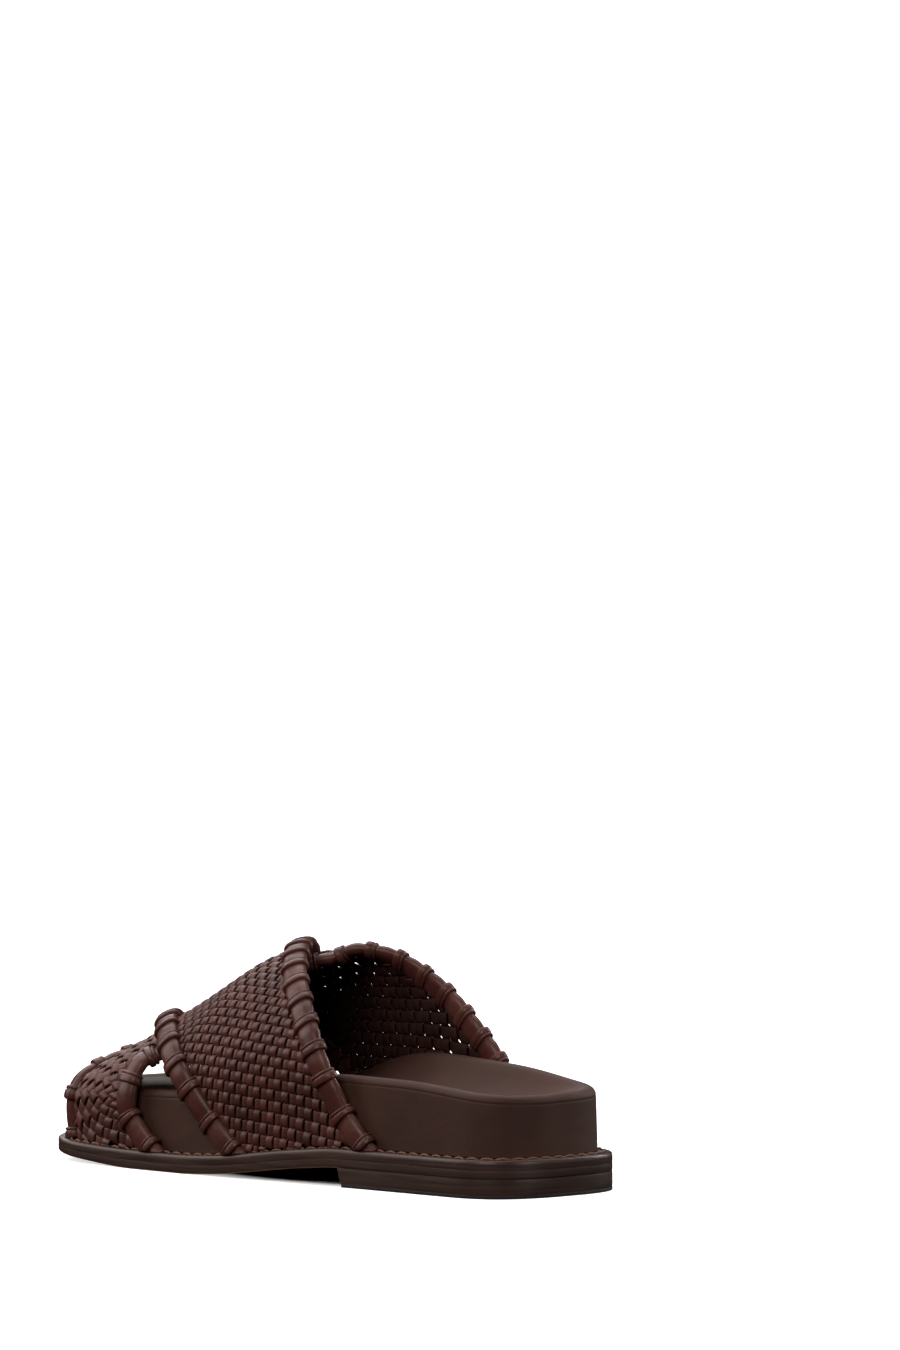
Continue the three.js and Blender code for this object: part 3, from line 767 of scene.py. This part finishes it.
def depth_under_upper(y, t):
    rear = edge_y(UPPER["rear"], 1, t)
    front = edge_y(UPPER["front"], 1, t)
    return np.minimum(y - rear, front - y)


def upper_rise(t):
    return BAND_RISE * (1 - smoothstep(np.abs(t), *RISE_FADE))


def toe_ease(y):
    """How far the lower band settles inward round the toe."""
    return TOE_EASE * smoothstep(y, *TOE_EASE_FROM)


# Band coordinates: s along the middle of the band, w across it, walked over the surface
WEAVE_REACH = 54
WEAVE_MARGIN = 60
MAP_T = 1.55
WALK_T = 1.58
MIDDLE_DEGREE = 4


def band_map(band):
    """Grids of y and t over s and w, one millimetre apart."""
    direction = band["direction"]
    t = np.linspace(-1, 1, 401)
    middle = (edge_y(band["rear"], direction, t) + edge_y(band["front"], direction, t)) / 2
    fit = np.polyfit(t, middle, MIDDLE_DEGREE)
    wide = np.linspace(-MAP_T, MAP_T, 901)
    inside = np.clip(wide, -1, 1)
    slope = np.polyval(np.polyder(fit), inside)
    y = np.polyval(fit, inside) + slope * (wide - inside)
    points = read_grid(y, wide)
    lengths = running_length(points)
    start = np.interp(-1.0, wide, lengths)
    end = np.interp(1.0, wide, lengths)
    s = np.arange(max(start - WEAVE_MARGIN, 0), min(end + WEAVE_MARGIN, lengths[-1]), 1.0)
    t_line = np.interp(s, lengths, wide)
    y_line = np.interp(s, lengths, y)
    line = read_grid(y_line, t_line)
    tangent = unit(np.gradient(line, axis=0))
    grids = {}
    for sign in (-1, 1):
        yy, tt = y_line.copy(), t_line.copy()
        heading = unit(np.cross(surface_normal(yy, tt), tangent)) * sign
        rows = [(yy.copy(), tt.copy())]
        for _ in range(WEAVE_REACH):
            along, across = partials(yy, tt)
            normal = unit(np.cross(across, along))
            heading = unit(heading - normal * np.sum(heading * normal, axis=1, keepdims=True))
            aa = np.sum(along * along, 1)
            ab = np.sum(along * across, 1)
            bb = np.sum(across * across, 1)
            ha = np.sum(heading * along, 1)
            hb = np.sum(heading * across, 1)
            determinant = aa * bb - ab * ab
            yy = yy + (ha * bb - hb * ab) / determinant
            tt = tt + (hb * aa - ha * ab) / determinant
            yy = np.clip(yy, GRID_Y[2], GRID_Y[-4])
            tt = np.clip(tt, -WALK_T, WALK_T)
            rows.append((yy.copy(), tt.copy()))
        grids[sign] = rows
    rows = grids[-1][:0:-1] + grids[1]
    return s - start, np.array([r[0] for r in rows]).T, np.array([r[1] for r in rows]).T


def mix_cells(grid, ia, ib, fa, fb):
    low = grid[ia, ib] * (1 - fb) + grid[ia, ib + 1] * fb
    high = grid[ia + 1, ib] * (1 - fb) + grid[ia + 1, ib + 1] * fb
    return low * (1 - fa) + high * fa


def sample_map(band, s, w):
    """The y and t of band coordinates."""
    s_axis, y_map, t_map = band["map"]
    a = np.clip(s - s_axis[0], 0, len(s_axis) - 1.001)
    b = np.clip(w + WEAVE_REACH, 0, 2 * WEAVE_REACH - 0.001)
    ia, ib = a.astype(int), b.astype(int)
    cell = (ia, ib, a - ia, b - ib)
    return mix_cells(y_map, *cell), mix_cells(t_map, *cell)


def edge_distance(band, points):
    """Distance to the nearer edge of the band."""
    t = np.linspace(-1.1, 1.1, 260)
    curves = []
    for column in (band["rear"], band["front"]):
        curves.append(read_grid(edge_y(column, band["direction"], t), t))
    curve = np.concatenate(curves)
    result = np.empty(len(points))
    for low in range(0, len(points), 2000):
        part = points[low : low + 2000]
        gap = part[:, None, :] - curve[None]
        result[low : low + 2000] = np.sqrt((gap**2).sum(2)).min(1)
    return result


# Strips: flat with rounded edges, and their lower sides face inward
STRIP_SIDES = 12
ACROSS_POWER = 0.34
UP_POWER = 0.32
STRIP_ANGLES = np.arange(STRIP_SIDES) / STRIP_SIDES * 2 * math.pi
STRIP_ACROSS = signed_power(np.cos(STRIP_ANGLES), ACROSS_POWER)
STRIP_UP = signed_power(np.sin(STRIP_ANGLES), UP_POWER)
# Sides that take the darker inside leather, whose colour is painted shade for the inside of the shoe
INWARD_SHADE_SIDES = [0] * (STRIP_SIDES // 2) + [1] * (STRIP_SIDES // 2)
SCALE_STEP = 0.1
MAP_BORDER = 3
SHORTEST_LINE = 6
SHORTEST_RUN = 4
RUN_REACH = 1.3
DIAGONAL = math.sqrt(2)


def strip_scale(pitches):
    """Places across a family of strips with their running strip number."""
    places = np.arange(-200, 400, SCALE_STEP)
    pitch = np.interp(places, [p[0] for p in pitches], [p[1] for p in pitches])
    numbers = np.cumsum(SCALE_STEP / pitch)
    return places, numbers - np.interp(0, places, numbers), pitch


def ribbon(centre, sideways, normal, half, narrow):
    """Rings of a strip's section along its run."""
    across = sideways[:, None, :] * (STRIP_ACROSS * half)[None, :, None] * narrow[:, None, None]
    thick = normal[:, None, :] * (STRIP_UP * STRIP_THICKNESS / 2)[None, :, None]
    return centre[:, None, :] + across + thick


def strip_path(family, across, along):
    """Band coordinates of a strip's middle line, and the direction across the strip."""
    if family == "column":
        return (across + along) / DIAGONAL, (across - along) / DIAGONAL, 1 / DIAGONAL, 1 / DIAGONAL
    return (along + across) / DIAGONAL, (along - across) / DIAGONAL, 1 / DIAGONAL, -1 / DIAGONAL


def inside_band(band, y, t, points):
    """Which points lie within the band and far enough from its edges."""
    rear = edge_y(band["rear"], band["direction"], t)
    front = edge_y(band["front"], band["direction"], t)
    inside = (y > rear) & (y < front) & (np.abs(t) < 1.0)
    far = np.zeros(len(y), bool)
    far[inside] = edge_distance(band, points[inside]) > TUCK
    return inside & far


def long_runs(inside):
    """Slices of the true runs that are long enough for a strip."""
    turns = np.flatnonzero(np.diff(np.concatenate([[0], inside.astype(int), [0]]))).tolist()
    return [slice(a, b) for a, b in zip(turns[::2], turns[1::2]) if b - a > SHORTEST_RUN]


def weave_strips(band, family):
    """Closed ribbons of one family, laid over and under the other family."""
    s_axis = band["map"][0]
    low_s, high_s = s_axis[0] + MAP_BORDER, s_axis[-1] - MAP_BORDER
    reach = float(s_axis[-1] - s_axis[0]) + WEAVE_REACH
    places, numbers, pitch = strip_scale(band[family])
    crossed_places, crossed_numbers, _ = strip_scale(band["row" if family == "column" else "column"])
    turn = 1 if family == "column" else -1
    points, faces, inward = [], [], []
    total = 0
    for number in range(int(numbers[0]) + 1, int(numbers[-1])):
        across = np.interp(number, numbers, places)
        half = np.interp(across, places, pitch) * STRIP_COVER / 2
        along = np.arange(-reach, reach * RUN_REACH, STRIP_STEP)
        s, w, side_s, side_w = strip_path(family, across, along)
        near = (np.abs(w) < WEAVE_REACH - MAP_BORDER) & (s > low_s) & (s < high_s)
        if near.sum() < SHORTEST_LINE:
            continue
        s, w, along = s[near], w[near], along[near]
        y, t = sample_map(band, s, w)
        centre = read_grid(y, t)
        normal = surface_normal(y, t)
        left = read_grid(*sample_map(band, s - side_s * half, w - side_w * half))
        right = read_grid(*sample_map(band, s + side_s * half, w + side_w * half))
        sideways = unit(right - left)
        rising = upper_rise(t) if band is UPPER else -toe_ease(y)
        crossed = np.interp(along, crossed_places, crossed_numbers)
        wave = turn * np.cos(crossed * math.pi) * (-1) ** (number % 2)
        lift = (signed_power(wave, LIFT_POWER) + turn * STRIP_BIAS) * STRIP_LIFT
        narrow = 1 - STRIP_NARROWING * (1 - np.abs(wave))
        for run in long_runs(inside_band(band, y, t, centre)):
            base = centre[run] + normal[run] * (rising[run] + lift[run])[:, None]
            points.append(ribbon(base, sideways[run], normal[run], half, narrow[run]).reshape(-1, 3))
            count = run.stop - run.start
            faces += ring_faces(STRIP_SIDES, count, total)
            inward += INWARD_SHADE_SIDES * (count - 1) + [0, 0]
            faces.append(tuple(total + i for i in range(STRIP_SIDES))[::-1])
            last = total + (count - 1) * STRIP_SIDES
            faces.append(tuple(last + i for i in range(STRIP_SIDES)))
            total += count * STRIP_SIDES
    return points, faces, inward, total


def build_weave(band, material, inner_shade_material):
    """Both families of a band as one piece, their inside faces a duller leather darkened as painted shade.
    """
    band["map"] = band_map(band)
    points, faces, inward, total = weave_strips(band, "column")
    more, more_faces, more_inward, _ = weave_strips(band, "row")
    faces += [tuple(i + total for i in face) for face in more_faces]
    weave = make_mesh(band["name"] + "_weave", np.concatenate(points + more), faces)
    finish_piece(weave, material, "band_leather", "woven_upper")
    # The faces toward the inside of the shoe take a duller leather; its dark colour is painted shade
    weave.data.materials.append(inner_shade_material)
    weave.data.polygons.foreach_set("material_index", inward + more_inward)


# Edge tapes: padded flat tapes bound by narrow straps
TAPE_SIDES = 20
TAPE_STEP = 0.6
TAPE_POWER = 0.86
LOOP_POWER = 0.84
LEDGE_GAP = 0.1
KEEP_ABOVE = 0.4
SWELL_SHARES = (0.35, 1.5)
FOOT_TURN = (0.8, 1.0)
FOOT_STEPS = 12
FOOT_START = 0.5
SMOOTH_PASSES = 30

# Straps: steps over the loop's width, and how far the strap stands out there
LOOP_STEPS = np.array([0.0, 0.0, 0.06, 0.16, 0.36, 0.56, 0.64, 0.7, 0.76, 0.86, 0.95, 1.0, 1.0])
LOOP_RAISED = np.array([0.0, 0.6, 0.92, 1.0, 1.0, 0.95, 0.8, 0.4, 0.75, 0.85, 0.72, 0.4, 0.0])


def tape_offset(kind, y, t):
    """Height of a tape's middle over the last."""
    if kind == "upper":
        return lerp(TAPE_RISE, TAPE_STANDOFF, smoothstep(np.abs(t), *RISE_FADE))
    return lerp(TAPE_STANDOFF, TAPE_DIP, smoothstep(depth_under_upper(y, t), *DIP_FADE)) - toe_ease(y)


def tape_line(column, direction, kind):
    """Evenly spaced centres with their frames along one band edge."""
    t = np.linspace(-1, 1, 900)
    y = edge_y(column, direction, t)
    normal = surface_normal(y, t)
    normal[:, 2] *= 1 - smoothstep(np.abs(t), *FOOT_TURN)
    normal = unit(normal)
    centres = read_grid(y, t) + normal * tape_offset(kind, y, t)[:, None]
    for _ in range(SMOOTH_PASSES):
        centres[1:-1] = (centres[:-2] + 2 * centres[1:-1] + centres[2:]) / 4
    reach = np.linspace(TAPE_FOOT, FOOT_START, FOOT_STEPS)[:, None]
    before = centres[0] + unit(centres[0] - centres[FOOT_STEPS]) * reach
    after = centres[-1] + unit(centres[-1] - centres[-FOOT_STEPS - 1]) * reach[::-1]
    centres = np.concatenate([before, centres, after])
    first, last = np.tile(normal[0], (FOOT_STEPS, 1)), np.tile(normal[-1], (FOOT_STEPS, 1))
    normal = np.concatenate([first, normal, last])
    lengths = running_length(centres)
    along = np.arange(0, lengths[-1], TAPE_STEP)
    centre = points_at(along, lengths, centres)
    up = points_at(along, lengths, normal)
    tangent = unit(np.gradient(centre, axis=0))
    up = unit(up - tangent * np.sum(up * tangent, axis=1, keepdims=True))
    return along, lengths[-1], centre, up, np.cross(tangent, up)


def tube(centre, up, side, half_up, half_side, power, sides, floor):
    """Closed tube of superellipse rings; returns points and faces."""
    angle = np.arange(sides) / sides * 2 * math.pi
    cos = signed_power(np.cos(angle), power)
    sin = signed_power(np.sin(angle), power)
    rings = (
        centre[:, None, :]
        + up[:, None, :] * (cos[None, :] * half_up[:, None])[:, :, None]
        + side[:, None, :] * (sin[None, :] * half_side[:, None])[:, :, None]
    )
    if floor:
        rings[:, :, 2] = np.maximum(rings[:, :, 2], ledge_z(rings[:, :, 1]) + LEDGE_GAP)
    count = len(centre)
    faces = ring_faces(sides, count)
    faces.append(tuple(range(sides))[::-1])
    faces.append(tuple((count - 1) * sides + i for i in range(sides)))
    return rings.reshape(-1, 3), faces


def join_tubes(tubes):
    """Points and faces of several tubes in one mesh."""
    parts, faces, total = [], [], 0
    for points, more in tubes:
        parts.append(points)
        faces += [tuple(i + total for i in face) for face in more]
        total += len(points)
    return np.concatenate(parts), faces


def loop_places(total):
    """Middles of the binding loops along a tape of this length."""
    low, high = FOOT_LOOPS[-1], total - FOOT_LOOPS[-1]
    count = max(1, round((high - low) / LOOP_PITCH))
    ends = FOOT_LOOPS[:-1]
    return [*ends, *np.linspace(low, high, count + 1), *(total - end for end in ends)]


def build_tape(name, column, direction, kind, material):
    """A tape that swells between its straps, with the straps round it."""
    along, total, centre, up, side = tape_line(column, direction, kind)
    middles = [TAPE_FOOT + place for place in loop_places(total - 2 * TAPE_FOOT)]
    nearest = np.min([np.abs(along - m) for m in middles], axis=0)
    swell = smoothstep(nearest, LOOP_WIDTH * SWELL_SHARES[0], LOOP_WIDTH * SWELL_SHARES[1])
    half_up = TAPE_THICKNESS / 2 * (TAPE_PINCH + (1 - TAPE_PINCH) * swell)
    half_side = TAPE_WIDTH / 2 * (EDGE_PINCH + (1 - EDGE_PINCH) * swell)
    top = centre[:, 2] + TAPE_WIDTH / 2 * np.abs(side[:, 2])
    shown = np.flatnonzero(top > ledge_z(centre[:, 1]) + KEEP_ABOVE)
    keep = slice(shown[0], shown[-1] + 1)
    body = (centre[keep], up[keep], side[keep], half_up[keep], half_side[keep])
    tubes = [tube(*body, TAPE_POWER, TAPE_SIDES, True)]
    raised = LOOP_RAISED * LOOP_THICKNESS
    loop_up = TAPE_THICKNESS / 2 * TAPE_PINCH + raised
    loop_side = TAPE_WIDTH / 2 * EDGE_PINCH + raised
    for middle in middles:
        places = middle + (LOOP_STEPS - 0.5) * LOOP_WIDTH
        middle_line, above, beside = (points_at(places, along, line) for line in (centre, up, side))
        strap = (middle_line, unit(above), unit(beside), loop_up, loop_side)
        tubes.append(tube(*strap, LOOP_POWER, TAPE_SIDES, True))
    tape = make_mesh(name + "_tape", *join_tubes(tubes))
    finish_piece(tape, material, "tape_leather", name)


# Stitching round the ledge
STITCH_INSET = 2.9
STITCH_PITCH = 6.0
STITCH_RADIUS = 0.42
STITCH_SIDES = 8
STITCH_RINGS = 9
STITCH_SPAN = (0.04, 0.96)
STITCH_LIFT = 0.15
STITCH_ARCH = 0.45
STITCH_SINK = 0.2
STITCH_SLANT = 0.8
STITCH_END = 0.35


def build_stitches(material):
    """Short arched threads that sink into the ledge at both ends."""
    ring = outline_ring(STITCH_INSET, lambda y, side: ledge_z(y) + STITCH_LIFT)
    closed = np.vstack([ring, ring[:1]])
    lengths = running_length(closed)
    count = int(lengths[-1] / STITCH_PITCH)
    pitch = lengths[-1] / count
    share = np.linspace(*STITCH_SPAN, STITCH_RINGS)
    arch = np.sin(share * math.pi)
    radius = STITCH_RADIUS * (STITCH_END + (1 - STITCH_END) * arch**0.5)
    rise = (arch * STITCH_ARCH - STITCH_SINK)[:, None]
    slant = ((share - 0.5) * STITCH_SLANT)[:, None]
    up = np.tile([0.0, 0.0, 1.0], (STITCH_RINGS, 1))
    tubes = []
    for k in range(count):
        centre = points_at((k + share) * pitch, lengths, closed)
        side = unit(np.cross(unit(np.gradient(centre, axis=0)), up))
        line = centre + up * rise + side * slant
        tubes.append(tube(line, up, side, radius, radius, 1.0, STITCH_SIDES, False))
    stitches = make_mesh("ledge_stitches", *join_tubes(tubes))
    finish_piece(stitches, material, "band_leather")


# Camera of the photograph, floor and light
VIEW_AZIMUTH = 47.9
VIEW_ELEVATION = 4.53
VIEW_DISTANCE = 3.5
TARGET = Vector((0.0, 0.0, 0.040))
YAW_RIGHT = 0.7215
PITCH_UP = 2.48
SENSOR = 36.0
LENS = 242.67

# Floor in metres: its size, its glow and the painted shadow under the shoe, where the glow fades
FLOOR_SIZE = 12.0
FLOOR_GLOW = 0.66
PAINTED_SHADOW_HALF_WIDTH = 0.045
PAINTED_SHADOW_HALF_LENGTH = 0.125
PAINTED_SHADOW_FADE = 0.3

# Soft lights: name, place and size in metres, power, tint
LIGHTS = [
    ("heel_side", (0.3, -1.9, 0.6), (0.25, 0.7), 8, (1, 1, 1)),
    ("far_side", (0.8, 1.6, 0.9), (1.0, 0.4), 5, (1, 1, 1)),
    ("right_rim", (1.7, -0.4, 0.75), (0.3, 1.0), 14, (1, 1, 1)),
    ("toe_side", (-0.9, 1.4, 1.0), (1.7, 1.4), 23, (1, 0.96, 0.93)),
    ("front_fill", (-1.6, -0.7, 1.15), (1.3, 1.0), 22, (1, 0.94, 0.9)),
]


def turn_to(obj, direction):
    """Turns a camera or a light along a direction."""
    obj.rotation_euler = Vector(direction).to_track_quat("-Z", "Y").to_euler()


def sight(azimuth, elevation):
    """Direction from an azimuth and an angle downward, in degrees."""
    turn, dip = math.radians(azimuth), math.radians(elevation)
    return Vector((math.cos(turn) * math.cos(dip), math.sin(turn) * math.cos(dip), -math.sin(dip)))


def build_camera():
    data = bpy.data.cameras.new("camera")
    data.sensor_fit = "VERTICAL"
    data.sensor_height = SENSOR
    data.lens = LENS
    data.clip_end = 50
    camera = add_object("camera", data)
    camera.location = TARGET - sight(VIEW_AZIMUTH, VIEW_ELEVATION) * VIEW_DISTANCE
    turn_to(camera, sight(VIEW_AZIMUTH - YAW_RIGHT, VIEW_ELEVATION - PITCH_UP))
    bpy.context.scene.camera = camera


def build_world():
    """White backdrop that lights nothing."""
    world = bpy.data.worlds.new("studio")
    bpy.context.scene.world = world
    world.use_nodes = True
    background = world.node_tree.nodes["Background"]
    background.inputs["Color"].default_value = (1, 1, 1, 1)
    background.inputs["Strength"].default_value = 1.0
    world.cycles_visibility.diffuse = False
    world.cycles_visibility.glossy = False


def floor_material():
    """Glowing white paper whose glow fades under the shoe into a painted shadow."""
    material, nodes, links, shader, place = new_material("floor_paper", 0.9, 0.2)
    grain = add_noise(nodes, links, place, 400.0, 3.0)
    ramp = add_ramp(nodes, links, grain.outputs["Fac"], [(0.3, rgb("f0f0f0")), (0.7, rgb("f8f8f8"))])
    links.new(ramp.outputs["Color"], shader.inputs["Base Color"])
    shader.inputs["Emission Color"].default_value = (1, 1, 1, 1)
    # Painted shadow: an ellipse under the shoe where the floor's glow falls to nothing
    under = nodes.new("ShaderNodeMapping")
    under.inputs["Scale"].default_value = (1 / PAINTED_SHADOW_HALF_WIDTH, 1 / PAINTED_SHADOW_HALF_LENGTH, 1)
    painted_shadow = nodes.new("ShaderNodeTexGradient")
    painted_shadow.gradient_type = "SPHERICAL"
    glow = nodes.new("ShaderNodeMapRange")
    glow.inputs["From Max"].default_value = PAINTED_SHADOW_FADE
    glow.inputs["To Min"].default_value = FLOOR_GLOW
    glow.inputs["To Max"].default_value = 0.0
    links.new(place.outputs["Object"], under.inputs["Vector"])
    links.new(under.outputs["Vector"], painted_shadow.inputs["Vector"])
    links.new(painted_shadow.outputs["Fac"], glow.inputs["Value"])
    links.new(glow.outputs["Result"], shader.inputs["Emission Strength"])
    return material


def build_floor():
    size = FLOOR_SIZE
    corners = [(-size, -size, 0), (size, -size, 0), (size, size, 0), (-size, size, 0)]
    mesh = bpy.data.meshes.new("floor")
    mesh.from_pydata(corners, [], [(0, 1, 2, 3)])
    mesh.materials.append(floor_material())
    floor = add_object("floor", mesh)
    floor.visible_diffuse = False
    floor.visible_glossy = False


def build_lights():
    sun = bpy.data.lights.new("overhead", "SUN")
    sun.energy = 2.2
    sun.angle = math.radians(60)
    turn_to(add_object("overhead", sun), (-0.25, -0.3, -1))
    for name, place, size, power, tint in LIGHTS:
        data = bpy.data.lights.new(name, "AREA")
        data.shape = "RECTANGLE"
        data.size, data.size_y = size
        data.energy = power
        data.color = tint
        light = add_object(name, data)
        light.location = Vector(place)
        turn_to(light, TARGET - Vector(place))


BAND_COLOURS = ("452620", "512c26", "5e372f")
# Inner faces of the strips: a duller flesh side, darkened as painted shade for the inside of the shoe
INSIDE_SHADE_COLOURS = ("25120f", "2c1612", "351d18")
TAPE_COLOURS = ("43241e", "4e2a24", "5b352d")

build_camera()
materials = {
    "band": leather("band_leather", BAND_COLOURS, 0.45, 0.3, 1500.0, 0.00005, islands=True),
    "band_inside_shade": leather("band_inside_shade", INSIDE_SHADE_COLOURS, 0.7, 0.15, 1100.0, 0.00007),
    "tape": leather("tape_leather", TAPE_COLOURS, 0.37, 0.26, 1300.0, 0.00004),
    "footbed": footbed_leather(),
    "midsole": sole_leather("midsole_leather", ("34231e", "3e2b25", "4b362f"), 0.36),
    "sole": sole_leather("sole_leather", ("2e1f19", "382720", "44312a"), 0.42),
    "raw": sole_leather("raw_edge", ("6b4a35", "7d5a42", "8c6a50"), 0.6),
    "rubber": heel_rubber(),
    "thread": thread_material(),
}
build_sole(materials)
build_footbed(materials["footbed"])
build_weave(UPPER, materials["band"], materials["band_inside_shade"])
build_weave(LOWER, materials["band"], materials["band_inside_shade"])
build_tape("upper_band_rear_roll", 1, 1, "upper", materials["tape"])
build_tape("upper_band_front_roll", 2, 1, "upper", materials["tape"])
build_tape("lower_band_rear_roll", 3, -1, "lower", materials["tape"])
build_tape("lower_band_front_roll", 4, -1, "lower", materials["tape"])
build_stitches(materials["thread"])
build_world()
build_floor()
build_lights()
bpy.context.scene.view_settings.view_transform = "Standard"
